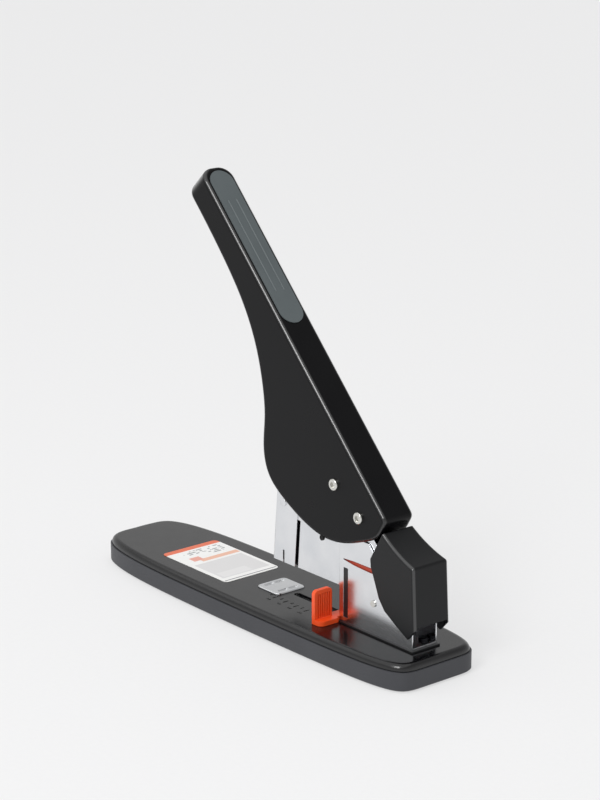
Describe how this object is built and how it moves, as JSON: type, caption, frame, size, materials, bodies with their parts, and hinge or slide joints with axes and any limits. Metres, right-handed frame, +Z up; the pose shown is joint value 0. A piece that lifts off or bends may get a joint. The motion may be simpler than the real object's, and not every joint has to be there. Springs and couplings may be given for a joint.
{
  "type": "heavy-duty desk stapler",
  "caption": "Heavy-duty desk stapler on a long base, with a hinged stapling arm, a long raised lever handle and a sliding paper depth stop.",
  "frame": {"origin": "middle of the base where it stands on the table", "axes": "+X along the base towards the anvil end, +Y across the base, +Z up"},
  "size_m": [0.2901, 0.0734, 0.2635],
  "materials": {
    "grey_plastic": "moulded matt",
    "black_paint": "satin black paint",
    "bright_steel": "bright nickel plate",
    "hardened_steel": "ground",
    "dark_steel": "black oxide",
    "spring_steel": "drawn wire",
    "black_plastic": "moulded satin",
    "charcoal_plastic": "moulded fine texture",
    "orange_plastic": "moulded",
    "rubber": "matt",
    "grip_rubber": "soft matt",
    "label": "printed film"
  },
  "bodies": {
    "base": {"base_skirt": "grey_plastic", "base_plate": "black_paint", "anvil_plate": "bright_steel", "anvil_rivet": "hardened_steel", "rubber_feet": "rubber", "base_screws": "spring_steel", "instruction_label": "label", "stand_bracket": "bright_steel", "stand_packing": "black_plastic", "stand_screws": "dark_steel", "wear_strips": "black_plastic", "stand_rivets": "dark_steel", "main_pivot_pin": "hardened_steel", "arm_return_spring": "spring_steel"},
    "arm": {"arm_frame": "bright_steel", "nose_cap": "bright_steel", "driver_guides": "dark_steel", "nose_rivets": "bright_steel", "rear_cover": "charcoal_plastic", "lever_pivot_pin": "hardened_steel", "handle_return_spring": "spring_steel", "lever_return_spring": "spring_steel"},
    "handle": {"handle_shell": "black_paint", "grip_inlay": "grip_rubber", "fulcrum_pin": "hardened_steel", "link_pin": "hardened_steel", "link_sleeve": "hardened_steel", "handle_screws": "bright_steel", "handle_bumpers": "rubber"},
    "lever": {"driver_lever": "dark_steel"},
    "driver": {"driver_blade": "hardened_steel"},
    "magazine": {"magazine_channel": "dark_steel", "magazine_rail": "dark_steel", "rail_end_blocks": "dark_steel", "pusher_rod": "spring_steel", "pusher_spring": "spring_steel"},
    "pusher": {"pusher": "black_plastic"},
    "release": {"release_slide": "orange_plastic"},
    "depth_stop": {"depth_stop": "orange_plastic", "depth_stop_clip": "spring_steel"}
  },
  "joints": [
    {"name": "arm_hinge", "type": "hinge", "parent": "base", "child": "arm", "pos_m": [-0.121, 0, 0.0385], "axis": [0, 1, 0], "range_deg": [0, 10], "stiffness_Nm_per_rad": 4, "springref_deg": -20.05, "deforming": ["arm_return_spring"]},
    {"name": "handle_hinge", "type": "hinge", "parent": "arm", "child": "handle", "pos_m": [-0.0867, 0, 0.0852], "axis": [0, 1, 0], "range_deg": [0, 32], "stiffness_Nm_per_rad": 0.6, "springref_deg": -68.75},
    {"name": "lever_hinge", "type": "hinge", "parent": "arm", "child": "lever", "pos_m": [-0.1105, 0, 0.0705], "axis": [0, 1, 0], "range_deg": [0, 15.56]},
    {"name": "driver_travel", "type": "slide", "parent": "arm", "child": "driver", "axis": [0.0785, 0, -0.9969], "range_m": [0, 0.0273]},
    {"name": "magazine_travel", "type": "slide", "parent": "arm", "child": "magazine", "axis": [-1, 0, 0], "range_m": [-0.062, 0]},
    {"name": "pusher_travel", "type": "slide", "parent": "magazine", "child": "pusher", "axis": [-1, 0, 0], "range_m": [0, 0.058], "stiffness_N_per_m": 25, "springref_m": -0.03, "deforming": ["pusher_spring"]},
    {"name": "release_travel", "type": "slide", "parent": "arm", "child": "release", "axis": [-1, 0, 0], "range_m": [0, 0.0025], "stiffness_N_per_m": 300, "springref_m": -0.002},
    {"name": "depth_stop_travel", "type": "slide", "parent": "base", "child": "depth_stop", "axis": [-1, 0, 0], "range_m": [-0.04, 0]}
  ],
  "couplings": [
    {"joint": "lever_hinge", "follows": "handle_hinge", "ratio": 0.48625},
    {"joint": "driver_travel", "follows": "handle_hinge", "m_per_rad": 0.048879}
  ]
}
